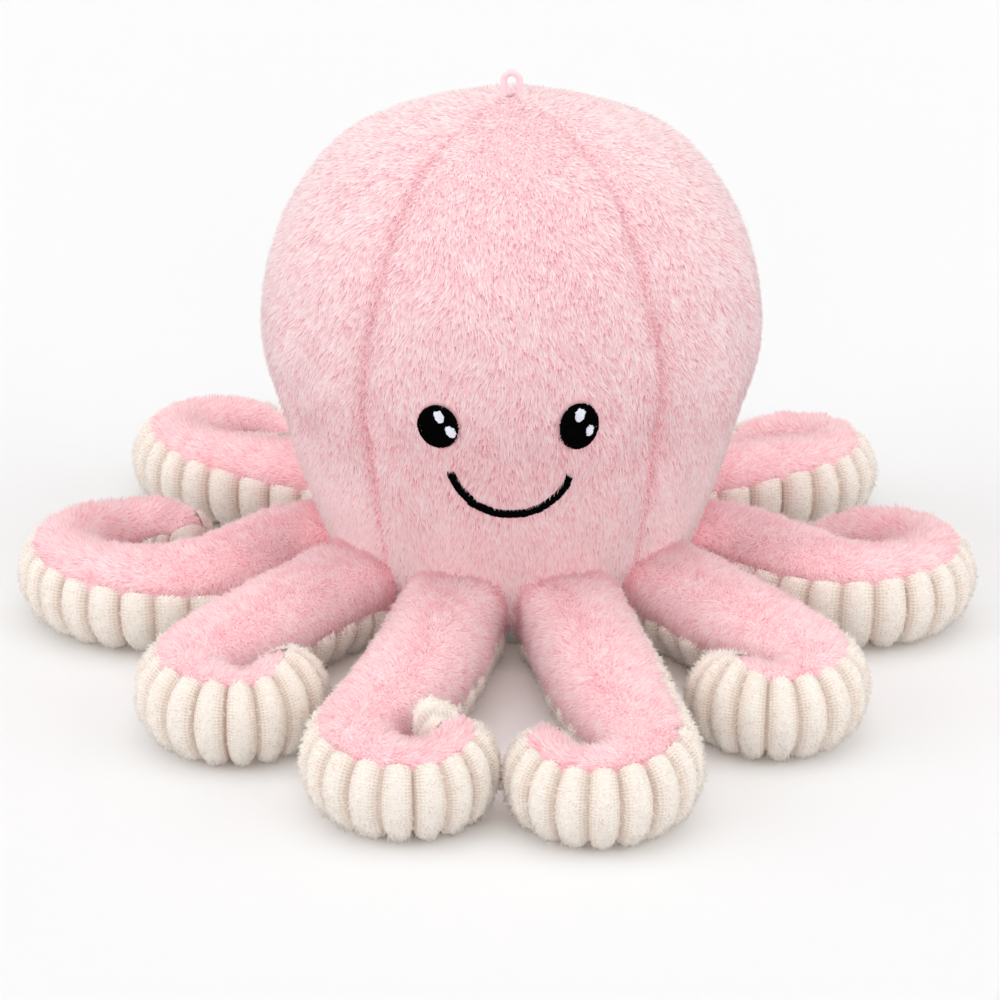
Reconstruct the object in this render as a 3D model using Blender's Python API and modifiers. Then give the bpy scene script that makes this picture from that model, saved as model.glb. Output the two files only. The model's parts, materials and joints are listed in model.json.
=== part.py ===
# Plush octopus: a stuffed head sewn from six gores on a round base panel, an embroidered face,
# a cord loop at the crown, and eight stuffed arms that each swing at the seam under the head.
# Metres, +Z up. The origin is the middle of the base panel's underside, and the face looks along -Y.

import bmesh
import bpy
import math
from mathutils import Matrix, Vector

for leftover in list(bpy.data.objects):
    bpy.data.objects.remove(leftover, do_unlink=True)

# Head: sizes over the cut pile, without the loose fur
head_height = 0.226
head_radius = 0.1075
gore_thickness = 0.004
gore_gap = 0.0003
seam_depth_share = 0.052
seam_sharpness = 3
seam_fade_height = 0.100
crown_opening = 0.004

# Outline of the head above its base seam: (share of the height, share of the radius)
head_profile_shares = (
    (0.080, 0.744), (0.186, 0.797), (0.290, 0.862), (0.400, 0.923), (0.550, 1.000),
    (0.700, 0.957), (0.820, 0.838), (0.910, 0.672), (0.970, 0.385),
)
gore_seam_angles = (-33, 33, 90, 147, 213, 270, 327)
gore_names = ("front_gore", "front_right_gore", "back_right_gore",
              "back_gore", "back_left_gore", "front_left_gore")
gore_columns = 4

# Base panel, the flat face that the toy stands on
base_radius = 0.068
base_thickness = 0.003
base_edge_round = 0.0008
base_sides = 32

# Filling of the head
filling_gap = 0.0008
filling_sides = 24

# Hanging loop at the crown
loop_cord_diameter = 0.0030
loop_width = 0.0097
loop_height = 0.0105
loop_seat_gap = 0.0004
loop_foot_angles = (80, 50, 25)
loop_bend_angles = (0, 18, 36, 54, 72, 90)

# Embroidered face, raised a little over the gore
stitch_gap = 0.0003
eye_width = 0.0165
eye_height = 0.0205
eye_raise = 0.0016
eye_level = 0.116
eye_sides = 20
eye_edge_slope = 0.0006
left_eye_angle = -16.1
right_eye_angle = 14.6
glint_raise = 0.0008
glint_sides = 12
high_glint_width = 0.0046
high_glint_height = 0.0062
high_glint_rise = 0.0046
low_glint_width = 0.0038
low_glint_height = 0.0052
low_glint_drop = 0.0024
low_glint_shift = 0.0044
smile_stroke = 0.0030
smile_width = 0.0508
smile_depth = 0.0190
smile_end_level = 0.0932
smile_points = 15

# Arms: one pattern piece above, one ribbed piece below, and the filling
arm_half_width = 0.0225
arm_half_height = 0.0210
arm_seat_gap = 0.0005
arm_fabric = 0.0030
arm_seam_gap = 0.00025
arm_filling_gap = 0.0008
arm_root_bend = 0.0300
arm_straight = 0.1000
arm_curl_radius = 0.0200
arm_lead_in = 0.0220
arm_toe = 0.0130
rib_pitch = 0.0168
rib_depth = 0.0020
rib_columns = 4
top_columns = 4
arm_filling_columns = 6
course_step = 0.0010
root_check_angles = range(0, 181, 10)

# Width and height of an arm along its length: (share of the length, width share, height share)
arm_section_shares = (
    (0.00, 0.933, 0.952), (0.12, 0.978, 0.976), (0.35, 1.000, 1.000), (0.55, 0.898, 0.971),
    (0.75, 0.780, 0.905), (0.92, 0.680, 0.790), (1.00, 0.575, 0.667),
)
# Seam between the two arm pieces: share of the length, then degrees over the middle line on the
# curl's outer side and on its inner side. At the toe the seams are at the last pair of angles.
arm_seam_shares = (
    (0.00, 3, 3), (0.25, 13, 7), (0.50, 37, 11), (0.75, 51, 15), (0.92, 62, 31), (1.00, 69, 47),
)
toe_seam_angles = (74, 60)
toe_ring_angles = (35, 65)

# Each arm's course over the floor. Angles are in degrees, counted from the front towards +X: where
# it leaves the head, the heading that it bends to, and how far it sways back over the straight
# stretch. The shares are of arm_straight and arm_curl_radius, for the stretch, the curl's start
# and its end. The last number is the curl's turn, positive anticlockwise seen from above.
arm_course_shares = {
    "arm_1": (-16.4, -8.6, 17, 1.12, 1.07, 0.95, 220),
    "arm_2": (16.5, 8.9, 6, 1.19, 1.07, 0.94, -212),
    "arm_3": (-50.5, -33.4, 3, 0.91, 1.07, 1.05, 218),
    "arm_4": (48.8, 29.8, 9, 0.82, 1.07, 0.94, -207),
    "arm_5": (-82.4, -36.8, 2, 0.38, 2.37, 1.57, -262),
    "arm_6": (83.3, 41.6, 2, 0.52, 1.47, 1.68, 248),
    "arm_7": (-128.2, -103, -3, 0.61, 2.27, 1.22, -225),
    "arm_8": (128.2, 98.3, 1, 0.60, 1.30, 1.20, 234),
}

# Edges sharper than this stay crisp, and points nearer than this are one
crisp_edge_angle = 50
merge_distance = 0.00001

parts = bpy.data.collections.new("plush_octopus")
bpy.context.scene.collection.children.link(parts)


def paint(name, red, green, blue, roughness):
    """A matt textile material."""
    material = bpy.data.materials.new(name)
    material.use_nodes = True
    shader = material.node_tree.nodes["Principled BSDF"]
    shader.inputs["Base Color"].default_value = (red, green, blue, 1)
    shader.inputs["Roughness"].default_value = roughness
    shader.inputs["Metallic"].default_value = 0
    return material


def add_part(name, verts, faces, material):
    """Adds a mesh to the part, smooth but for its crisp edges."""
    mesh = bpy.data.meshes.new(name)
    mesh.from_pydata(verts, [], faces)
    draft = bmesh.new()
    draft.from_mesh(mesh)
    bmesh.ops.recalc_face_normals(draft, faces=draft.faces)
    draft.to_mesh(mesh)
    draft.free()
    mesh.shade_smooth()
    mesh.set_sharp_from_angle(angle=math.radians(crisp_edge_angle))
    mesh.materials.append(material)
    piece = bpy.data.objects.new(name, mesh)
    parts.objects.link(piece)
    return piece


class Shell:
    """A piece of fabric, built from an outer and an inner grid of points."""

    def __init__(self):
        self.verts = []
        self.faces = []

    def lay(self, rings):
        """Adds rows of points and the faces between them. Returns the rows as point numbers."""
        grid = []
        for ring in rings:
            grid.append(list(range(len(self.verts), len(self.verts) + len(ring))))
            self.verts += ring
        for low, high in zip(grid, grid[1:]):
            for column in range(len(low) - 1):
                self.faces.append((low[column], high[column], high[column + 1], low[column + 1]))
        return grid

    def bridge(self, first_line, second_line):
        """Adds triangles between two lines of points that start and end side by side."""
        one, two = 0, 0
        last_one, last_two = len(first_line) - 1, len(second_line) - 1
        while one < last_one or two < last_two:
            if two == last_two or (one < last_one and (one + 1) * last_two <= (two + 1) * last_one):
                self.faces.append((first_line[one], first_line[one + 1], second_line[two]))
                one += 1
            else:
                self.faces.append((first_line[one], second_line[two + 1], second_line[two]))
                two += 1

    def hem(self, outside, inside):
        """Joins the outer and inner grids along the root, both sides and the last row."""
        self.bridge(outside[0], inside[0])
        self.bridge(outside[-1], inside[-1])
        for side in (0, -1):
            self.bridge([row[side] for row in outside], [row[side] for row in inside])

    def close_toe(self, rings, tip):
        """Closes the toe beyond the tongue, round its last rings and onto its tip."""
        for low, high in zip(rings, rings[1:]):
            self.faces.append((low[-1], high[-1], high[0], low[0]))
        last = rings[-1]
        self.verts.append(tip)
        for column in range(len(last)):
            self.faces.append((last[column], len(self.verts) - 1, last[(column + 1) % len(last)]))


def between(table, share, column):
    """Reads a column of a table at a share, on a smooth curve through its rows."""
    for low, high in zip(table, table[1:]):
        if share <= high[0]:
            break
    part = (share - low[0]) / (high[0] - low[0])
    part = min(max(part, 0), 1)
    before = table[max(table.index(low) - 1, 0)]
    after = table[min(table.index(high) + 1, len(table) - 1)]
    low_slope = (high[column] - before[column]) / (high[0] - before[0]) * (high[0] - low[0])
    high_slope = (after[column] - low[column]) / (after[0] - low[0]) * (high[0] - low[0])
    square = part * part
    cube = square * part
    return ((2 * cube - 3 * square + 1) * low[column] + (cube - 2 * square + part) * low_slope
            + (3 * square - 2 * cube) * high[column] + (cube - square) * high_slope)


# Head gores, base panel and filling

def drawn_in(radius, level, across):
    """The head's radius over a gore. It draws in at the seams, where across is -1 or 1."""
    fade = min(level / seam_fade_height, 1)
    return radius * (1 - seam_depth_share * fade * fade * abs(across) ** seam_sharpness)


def round_point(radius, angle, level):
    """A point at an angle counted from the front towards +X."""
    turn = math.radians(angle)
    return radius * math.sin(turn), -radius * math.cos(turn), level


def head_profile(inset=0, across=0):
    """The head's outline from the base seam to the crown, as radius and level, set in by inset."""
    skin = [(base_radius, base_thickness + gore_gap)]
    skin += [(drawn_in(radius * head_radius, share * head_height, across), share * head_height)
             for share, radius in head_profile_shares]
    skin += [(crown_opening, head_height)]
    outline = []
    for index, (radius, level) in enumerate(skin):
        before, after = skin[max(index - 1, 0)], skin[min(index + 1, len(skin) - 1)]
        run, climb = after[0] - before[0], after[1] - before[1]
        slope = math.hypot(run, climb)
        outline.append((radius - inset * climb / slope, level + inset * run / slope))
    return outline


def facet_radius(angle, level):
    """The radius of the gores' flat facets at an angle and a level."""
    turn = angle if angle >= gore_seam_angles[0] else angle + 360
    for first, last in zip(gore_seam_angles, gore_seam_angles[1:]):
        if turn <= last:
            break
    column = int((turn - first) / (last - first) * gore_columns)
    corners = []
    for number in (column, column + 1):
        outline = head_profile(0, 2 * number / gore_columns - 1)
        for low, high in zip(outline, outline[1:]):
            if level <= high[1]:
                break
        radius = low[0] + (high[0] - low[0]) * (level - low[1]) / (high[1] - low[1])
        corners.append((radius, math.radians(first + (last - first) * number / gore_columns - turn)))
    (one, before), (two, after) = corners
    return one * two * math.sin(after - before) / (two * math.sin(after) - one * math.sin(before))


def build_gore(name, first_seam, last_seam, material):
    """One panel of the head: rows climb the profile, columns run from seam to seam."""
    middle = (first_seam + last_seam) / 2
    half = (last_seam - first_seam) / 2
    shell = Shell()
    sides = []
    for inset in (0, gore_thickness):
        columns = []
        for column in range(gore_columns + 1):
            across = 2 * column / gore_columns - 1
            columns.append([round_point(radius, middle + across * half
                                        - across * math.degrees(gore_gap / 2 / radius), level)
                            for radius, level in head_profile(inset, across)])
        sides.append(shell.lay(columns))
    shell.hem(*sides)
    add_part(name, shell.verts, shell.faces, material)


def build_base(material):
    """The round panel that closes the head below, with a softly rounded rim."""
    bpy.ops.mesh.primitive_cylinder_add(
        vertices=base_sides, radius=base_radius, depth=base_thickness,
        location=(0, 0, base_thickness / 2))
    panel = bpy.context.object
    panel.name = "base_panel"
    panel.data.name = "base_panel"
    for holder in list(panel.users_collection):
        holder.objects.unlink(panel)
    parts.objects.link(panel)
    panel.data.materials.append(material)
    rim = panel.modifiers.new("rim", "BEVEL")
    rim.width = base_edge_round
    rim.segments = 1
    rim.limit_method = "ANGLE"


def build_head_filling(material):
    """The filling inside the gores, turned from the profile less the fabric and the seam valleys."""
    inset = gore_thickness + filling_gap
    floor = base_thickness + gore_gap
    skin = head_profile(inset, 1)[:-1]
    outline = [(0, floor), (skin[0][0], floor)] + skin + [(0, head_height - 2 * inset)]
    verts = [(radius, 0, level) for radius, level in reversed(outline)]
    edges = [(index, index + 1) for index in range(len(verts) - 1)]
    mesh = bpy.data.meshes.new("head_filling")
    mesh.from_pydata(verts, edges, [])
    mesh.materials.append(material)
    filling = bpy.data.objects.new("head_filling", mesh)
    parts.objects.link(filling)
    turned = filling.modifiers.new("turned", "SCREW")
    turned.steps = filling_sides
    turned.render_steps = filling_sides
    turned.use_merge_vertices = True
    turned.merge_threshold = merge_distance
    turned.use_normal_calculate = True


# Hanging loop

def build_loop(material):
    """A cord bent over into a loop. Its two rounded feet stand on the axis it swings about."""
    radius = loop_cord_diameter / 2
    reach = (loop_width - loop_cord_diameter) / 2
    leg = loop_height - reach - radius
    foot = [(-reach, -radius * math.sin(math.radians(turn)), math.cos(math.radians(turn)))
            for turn in loop_foot_angles]
    bend = [(-reach * math.cos(math.radians(turn)), leg + reach * math.sin(math.radians(turn)), 1)
            for turn in loop_bend_angles]
    half = foot + [(-reach, 0, 1), (-reach, leg / 2, 1)] + bend
    whole = half + [(-x, level, squeeze) for x, level, squeeze in reversed(half[:-1])]
    curve = bpy.data.curves.new("hanging_loop", "CURVE")
    curve.dimensions = "3D"
    curve.bevel_depth = radius
    curve.bevel_resolution = 2
    curve.use_fill_caps = True
    spline = curve.splines.new("POLY")
    spline.points.add(len(whole) - 1)
    for point, (x, level, squeeze) in zip(spline.points, whole):
        point.co = (x, 0, level, 1)
        point.radius = squeeze
    curve.materials.append(material)
    loop = bpy.data.objects.new("hanging_loop", curve)
    parts.objects.link(loop)
    loop.location = (0, 0, head_height + radius + loop_seat_gap)


# Embroidery

def front_point(level, angle):
    """A point on the front gore's outer side."""
    radius = between(head_profile_shares, level / head_height, 1) * head_radius
    return Vector(round_point(drawn_in(radius, level, angle / gore_seam_angles[1]), angle, level))


def face_frame(level, angle):
    """A place on the front gore, with its outward, sideways and upward directions."""
    sideways = (front_point(level, angle + 1) - front_point(level, angle - 1)).normalized()
    upward = (front_point(level + stitch_gap, angle) - front_point(level - stitch_gap, angle)).normalized()
    return front_point(level, angle), sideways.cross(upward).normalized(), sideways, upward


def build_patch(name, frame, raised, width, height, sides, material):
    """An oval satin-stitch patch with a sloping edge, lying square to the gore."""
    place, outward, sideways, upward = frame
    verts = []
    for lift, shrink in ((0, 0), (raised, eye_edge_slope)):
        for side in range(sides):
            turn = 2 * math.pi * side / sides
            along = (width / 2 - shrink) * math.cos(turn)
            up = (height / 2 - shrink) * math.sin(turn)
            verts.append(place + outward * lift + sideways * along + upward * up)
    faces = [tuple(range(sides)), tuple(range(sides, 2 * sides))]
    for side in range(sides):
        following = (side + 1) % sides
        faces.append((side, following, sides + following, sides + side))
    add_part(name, verts, faces, material)


def build_eye(side_name, angle, black, white):
    """An eye and the two glints on it."""
    place, outward, sideways, upward = face_frame(eye_level, angle)
    seat = place + outward * stitch_gap
    build_patch(side_name + "_eye", (seat, outward, sideways, upward),
                eye_raise, eye_width, eye_height, eye_sides, black)
    top = seat + outward * (eye_raise + stitch_gap)
    build_patch(side_name + "_eye_high_glint",
                (top + upward * high_glint_rise, outward, sideways, upward),
                glint_raise, high_glint_width, high_glint_height, glint_sides, white)
    build_patch(side_name + "_eye_low_glint",
                (top + sideways * low_glint_shift - upward * low_glint_drop,
                 outward, sideways, upward),
                glint_raise, low_glint_width, low_glint_height, glint_sides, white)


def build_smile(material):
    """The mouth: one padded line of stitches along an arc."""
    half = smile_width / 2
    arc_radius = (half * half + smile_depth * smile_depth) / (2 * smile_depth)
    arc_level = smile_end_level - smile_depth + arc_radius
    reach = math.acos((arc_radius - smile_depth) / arc_radius)
    curve = bpy.data.curves.new("smile", "CURVE")
    curve.dimensions = "3D"
    curve.bevel_depth = smile_stroke / 2
    curve.bevel_resolution = 1
    curve.use_fill_caps = True
    spline = curve.splines.new("POLY")
    spline.points.add(smile_points - 1)
    for index, point in enumerate(spline.points):
        turn = reach * (2 * index / (smile_points - 1) - 1)
        level = arc_level - arc_radius * math.cos(turn)
        radius = between(head_profile_shares, level / head_height, 1) * head_radius
        angle = math.degrees(math.asin(arc_radius * math.sin(turn) / radius))
        place, outward, sideways, upward = face_frame(level, angle)
        spot = place + outward * (smile_stroke / 2 + stitch_gap)
        point.co = (spot.x, spot.y, spot.z, 1)
    curve.materials.append(material)
    smile = bpy.data.objects.new("smile", curve)
    parts.objects.link(smile)


# Arms

class Course:
    """The middle line of an arm over the floor, stepped out from its bends."""

    def __init__(self, seat, heading, sway, straight_share, start_share, end_share, turn):
        self.side = 1 if turn > 0 else -1
        self.seat = seat
        self.crease_level = 2 * arm_half_height * arm_section_shares[0][2]
        self.seam_radius = arm_seat_gap + max(
            facet_radius(seat + math.degrees(aside / base_radius), level)
            for aside, level in self.root_outline())
        straight = straight_share * arm_straight
        start = start_share * arm_curl_radius
        end = end_share * arm_curl_radius
        lead_turn = arm_lead_in / 2 / start
        curl = (math.radians(abs(turn)) - lead_turn) * 2 / (1 / start + 1 / end)
        self.length = straight + arm_lead_in + curl
        self.steps = math.ceil(self.length / course_step)
        self.step = self.length / self.steps
        root_bend = self.side * math.radians(heading - seat) / arm_root_bend
        x, y, level = round_point(self.seam_radius, seat, 0)
        bearing = math.radians(seat)
        self.places = [(x, y, bearing, 0)]
        for index in range(self.steps):
            run = (index + 0.5) * self.step
            if run < arm_root_bend:
                bend = root_bend
            elif run < straight:
                bend = -math.radians(sway) / (straight - arm_root_bend)
            elif run < straight + arm_lead_in:
                bend = (run - straight) / arm_lead_in / start
            else:
                bend = 1 / start + (1 / end - 1 / start) * (run - straight - arm_lead_in) / curl
            x += math.sin(bearing) * self.step
            y -= math.cos(bearing) * self.step
            bearing += self.side * bend * self.step
            self.places.append((x, y, bearing, bend))

    def at(self, run):
        """Place, bearing and bend at a run along the course. Before its start it goes straight."""
        if run <= 0:
            x, y, bearing, bend = self.places[0]
            return x + math.sin(bearing) * run, y - math.cos(bearing) * run, bearing, 0
        index = min(int(run / self.step), self.steps - 1)
        part = run / self.step - index
        first, second = self.places[index], self.places[index + 1]
        return tuple(one + (two - one) * part for one, two in zip(first, second))

    def root_outline(self):
        """The upper half of the root's outline: how far aside of the seat, and the level."""
        for turn in root_check_angles:
            angle = math.radians(turn)
            yield (arm_section_shares[0][1] * arm_half_width * math.cos(angle),
                   self.crease_level / 2 * (1 + math.sin(angle)))

    def half_width(self, run):
        return between(arm_section_shares, run / self.length, 1) * arm_half_width

    def point(self, run, turn, inset=0, squeeze=1, ahead=0):
        """A point of the arm's surface. turn is 0 on the curl's outer side and 90 on top."""
        width = self.half_width(run)
        height = between(arm_section_shares, run / self.length, 2) * arm_half_height
        x, y, bearing, bend = self.at(run)
        angle = math.radians(turn)
        outward = -self.side * (width - inset) * squeeze * math.cos(angle)
        level = height + (height - inset) * squeeze * math.sin(angle)
        return (x + math.cos(bearing) * outward + math.sin(bearing) * ahead,
                y + math.sin(bearing) * outward - math.cos(bearing) * ahead, level)

    def rounded(self, run, turn, inset):
        """A run, drawn back near the root so that the first row follows the seam under the head."""
        aside = (self.half_width(0) - inset) * math.cos(math.radians(turn))
        slide = self.seam_radius - math.sqrt(self.seam_radius ** 2 - aside ** 2)
        return run - slide * max(1 - run / arm_root_bend, 0)

    def rib_rows(self):
        """Runs of the ribbed piece's rows, a groove and a crest in turn, even on the outer side."""
        outer_runs = [0]
        for x, y, bearing, bend in self.places[1:]:
            outer_runs.append(outer_runs[-1] + self.step * (1 + max(bend, 0) * arm_half_width))
        row_count = 4 * round(outer_runs[-1] / rib_pitch / 2)
        rows = []
        index = 0
        for row in range(row_count + 1):
            goal = outer_runs[-1] * row / row_count
            while index < self.steps - 1 and outer_runs[index + 1] < goal:
                index += 1
            part = (goal - outer_runs[index]) / (outer_runs[index + 1] - outer_runs[index])
            rows.append((index + min(part, 1)) * self.step)
        return rows

    def ring(self, station, upper, inset, columns):
        """Points round the upper or the lower piece at a station: run, groove share, toe angle."""
        run, groove_share, toe_angle = station
        outer = between(arm_seam_shares, run / self.length, 1)
        inner = between(arm_seam_shares, run / self.length, 2)
        if toe_angle:
            outer, inner = toe_seam_angles
        allowance = math.degrees(arm_seam_gap / self.half_width(run))
        first, last = outer - allowance, -180 - inner + allowance
        ahead = arm_toe * math.sin(math.radians(toe_angle))
        if upper:
            first, last = outer + allowance, 180 - inner - allowance
            ahead = max(ahead - 2 * arm_seam_gap, 0)
        points = []
        for column in range(columns + 1):
            turn = first + (last - first) * column / columns
            where = self.rounded(run, turn, 0)
            stretch = 1 + self.at(where)[3] * self.half_width(run) * math.cos(math.radians(turn))
            groove = rib_depth * groove_share * min(stretch, 1)
            squeeze = math.cos(math.radians(toe_angle))
            points.append(self.point(where, turn, inset + groove, squeeze, ahead))
        return points


def build_underside(name, course, material):
    """The lower piece, ribbed outside and plain inside. It widens round the toe and closes it."""
    toe = [(course.length, 0, angle) for angle in toe_ring_angles]
    ribbed = [(run, (index + 1) % 2, 0) for index, run in enumerate(course.rib_rows())]
    plain = [(run, 0, 0) for run, groove_share, toe_angle in ribbed[::2]]
    shell = Shell()
    edges = []
    for stations, toe_stations, inset in ((ribbed, toe, 0), (plain, toe[:1], arm_fabric)):
        grid = shell.lay([course.ring(station, False, inset, rib_columns)
                          for station in stations + toe_stations])
        shell.close_toe(grid[len(stations):], course.point(course.length, 0, 0, 0, arm_toe - inset))
        edges.append(grid[:len(stations) + 1])
    outside, inside = edges
    outside[-1], inside[-1] = [[row[0], row[-1]] for row in (outside[-1], inside[-1])]
    shell.hem(outside, inside)
    return add_part(name, shell.verts, shell.faces, material)


def build_top(name, course, material):
    """The smooth upper piece, which narrows to a tongue over the toe."""
    stations = [(run, 0, 0) for run in course.rib_rows()[::2]]
    stations.append((course.length, 0, toe_ring_angles[0]))
    shell = Shell()
    outside, inside = [shell.lay([course.ring(station, True, inset, top_columns)
                                  for station in stations]) for inset in (0, arm_fabric)]
    shell.hem(outside, inside)
    return add_part(name, shell.verts, shell.faces, material)


def build_arm_filling(name, course, material):
    """The filling, a plain tapering roll inside the two pieces."""
    inset = arm_fabric + rib_depth + arm_filling_gap
    turns = [360 * column / arm_filling_columns for column in range(arm_filling_columns)]
    verts = []
    for run in course.rib_rows()[::2]:
        verts += [course.point(course.rounded(run, turn, inset), turn, inset) for turn in turns]
    faces = []
    for corner in range(len(verts) - arm_filling_columns):
        column = corner % arm_filling_columns
        following = corner - column + (column + 1) % arm_filling_columns
        faces.append((corner, following, following + arm_filling_columns,
                      corner + arm_filling_columns))
    faces.append(tuple(range(arm_filling_columns)))
    faces.append(tuple(range(len(verts) - arm_filling_columns, len(verts))))
    return add_part(name, verts, faces, material)


def hang_on_axis(name, course, pieces):
    """Parents an arm's pieces to an empty on its top crease, where the arm swings up and down."""
    axis = bpy.data.objects.new(name + "_axis", None)
    axis.empty_display_size = arm_half_width
    axis.location = round_point(course.seam_radius, course.seat, course.crease_level)
    axis.rotation_euler = (0, 0, math.radians(course.seat))
    parts.objects.link(axis)
    placed = Matrix.Translation(axis.location) @ axis.rotation_euler.to_matrix().to_4x4()
    for piece in pieces:
        piece.parent = axis
        piece.matrix_parent_inverse = placed.inverted()


def build_octopus():
    pink_pile = paint("pink_pile", 0.90, 0.52, 0.55, 0.95)
    cream_rib = paint("cream_rib", 0.86, 0.76, 0.66, 0.95)
    black_thread = paint("black_thread", 0.012, 0.012, 0.014, 0.55)
    white_thread = paint("white_thread", 0.80, 0.84, 0.90, 0.6)
    pink_cord = paint("pink_cord", 0.93, 0.66, 0.70, 0.7)
    white_fibre = paint("white_fibre", 0.85, 0.85, 0.83, 1.0)

    for name, first_seam, last_seam in zip(gore_names, gore_seam_angles, gore_seam_angles[1:]):
        build_gore(name, first_seam, last_seam, pink_pile)
    build_base(pink_pile)
    build_head_filling(white_fibre)
    build_loop(pink_cord)
    build_eye("left", left_eye_angle, black_thread, white_thread)
    build_eye("right", right_eye_angle, black_thread, white_thread)
    build_smile(black_thread)
    for name, course_shares in arm_course_shares.items():
        course = Course(*course_shares)
        hang_on_axis(name, course, [
            build_top(name + "_top", course, pink_pile),
            build_underside(name + "_underside", course, cream_rib),
            build_arm_filling(name + "_filling", course, white_fibre),
        ])


build_octopus()
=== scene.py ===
# Plush octopus: pink pile fabric over a stuffed head and eight curled arms, cream ribbed undersides,
# an embroidered face and a cord loop at the crown. Metres, +Z up, the face looks along -Y.

import json
import math
import bpy
import numpy as np
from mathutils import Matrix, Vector


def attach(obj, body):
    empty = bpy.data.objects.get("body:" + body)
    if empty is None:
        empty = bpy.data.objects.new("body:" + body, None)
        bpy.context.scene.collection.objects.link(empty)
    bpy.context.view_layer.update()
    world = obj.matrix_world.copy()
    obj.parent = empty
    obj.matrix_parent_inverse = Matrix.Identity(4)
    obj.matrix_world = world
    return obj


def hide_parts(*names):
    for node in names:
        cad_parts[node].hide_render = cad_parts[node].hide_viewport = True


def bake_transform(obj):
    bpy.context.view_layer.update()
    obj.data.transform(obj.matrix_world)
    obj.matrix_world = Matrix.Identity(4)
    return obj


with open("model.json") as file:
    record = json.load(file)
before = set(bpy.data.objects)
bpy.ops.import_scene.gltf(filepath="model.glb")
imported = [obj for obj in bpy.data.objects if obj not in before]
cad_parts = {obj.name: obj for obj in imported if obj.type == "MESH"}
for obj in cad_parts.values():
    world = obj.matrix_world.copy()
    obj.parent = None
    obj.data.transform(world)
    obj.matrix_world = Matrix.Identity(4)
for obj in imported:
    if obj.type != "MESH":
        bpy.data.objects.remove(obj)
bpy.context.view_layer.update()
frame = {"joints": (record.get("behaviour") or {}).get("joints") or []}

mapName = "OFBake"  # the map that the finishes read


# Shader maths: a wrapped socket adds Math nodes when it is used in an expression

class Socket:
    def __init__(self, finish, socket):
        self.finish = finish
        self.socket = socket

    def maths(self, operation, first, second):
        return self.finish.node("ShaderNodeMath", {"operation": operation}, {0: first, 1: second})

    def __add__(self, other):
        return self.maths("ADD", self, other)

    def __radd__(self, other):
        return self.maths("ADD", other, self)

    def __mul__(self, other):
        return self.maths("MULTIPLY", self, other)

    def __rmul__(self, other):
        return self.maths("MULTIPLY", other, self)


class Finish:
    def __init__(self, name, roughness, sheen=0, sheenRoughness=0.5, specular=0.3):
        self.material = bpy.data.materials.new(name)
        self.material.use_nodes = True
        self.tree = self.material.node_tree
        self.surface = self.tree.nodes["Principled BSDF"]
        self.set("Roughness", roughness)
        self.set("Sheen Weight", sheen)
        self.set("Sheen Roughness", sheenRoughness)
        self.set("Specular IOR Level", specular)

    def feed(self, socket, value):
        if isinstance(value, Socket):
            self.tree.links.new(value.socket, socket)
        else:
            socket.default_value = value

    def set(self, name, value):
        self.feed(self.surface.inputs[name], value)

    def node(self, kind, settings=None, sockets=None, output=0):
        made = self.tree.nodes.new(kind)
        for key, value in (settings or {}).items():
            if key == "stops":
                while len(made.color_ramp.elements) < len(value):
                    made.color_ramp.elements.new(0)
                for element, (place, colour) in zip(made.color_ramp.elements, value):
                    element.position = place
                    element.color = colour
            else:
                setattr(made, key, value)
        for key, value in (sockets or {}).items():
            self.feed(made.inputs[key], value)
        return Socket(self, made.outputs[output])

    def mix(self, share, first, second):
        return self.node("ShaderNodeMix", {"data_type": "RGBA"}, {0: share, 6: first, 7: second}, 2)

    def sine(self, value):
        return self.node("ShaderNodeMath", {"operation": "SINE"}, {0: value})

    def readMap(self, name):
        whole = self.node("ShaderNodeUVMap", {"uv_map": name})
        return [self.node("ShaderNodeSeparateXYZ", None, {0: whole}, axis) for axis in (0, 1)]

    def noise(self, scale, detail=3):
        place = self.node("ShaderNodeTexCoord", output=3)
        return self.node("ShaderNodeTexNoise", None, {"Vector": place, "Scale": scale, "Detail": detail})

    def attribute(self, name):
        return self.node("ShaderNodeAttribute", {"attribute_name": name}, None, 2)

    def bump(self, height, distance):
        self.set("Normal", self.node("ShaderNodeBump", None, {"Height": height, "Distance": distance}))


def dye(red, green, blue):  # a colour as a screen shows it, 0 to 255, as the shader takes it
    linear = [((part / 255 + 0.055) / 1.055) ** 2.4 for part in (red, green, blue)]
    return (*linear, 1)


# Sizes that several pieces share

head = {
    "height": 0.226, "radius": 0.1075,
    "outline": (  # share of the height, share of the radius
        (0.0146, 0.6326), (0.080, 0.744), (0.186, 0.797), (0.290, 0.862), (0.400, 0.923), (0.550, 1.000),
        (0.700, 0.957), (0.820, 0.838), (0.910, 0.672), (0.970, 0.385), (0.9925, 0.195), (1.000, 0.006)),
    "seams": (-33, 33, 90, 147, 213, 270, 327),  # degrees from the front, at the crown
    "spread": ((0.0, 8), (0.25, 5.5), (0.45, 3.5), (0.60, 2), (0.75, 0), (1.0, 0)),  # and more below it
    "gores": ("front", "frontRight", "backRight", "back", "backLeft", "frontLeft"),
    "valleyShare": 0.052, "creaseShare": 0.30, "creaseReach": 0.045, "valleyFade": 0.100,
    "plump": 0.0012,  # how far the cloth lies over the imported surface, higher than the foot
    "footDrop": 0.0008,  # how far it lies inside that surface at the foot
    "shoulder": (0.0017, 0.164, 0.030),  # how much fuller it is there, at which level, over what height
    "middle": (0, 0, 0.11), "fillingDrop": 0.0055,
}

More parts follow.
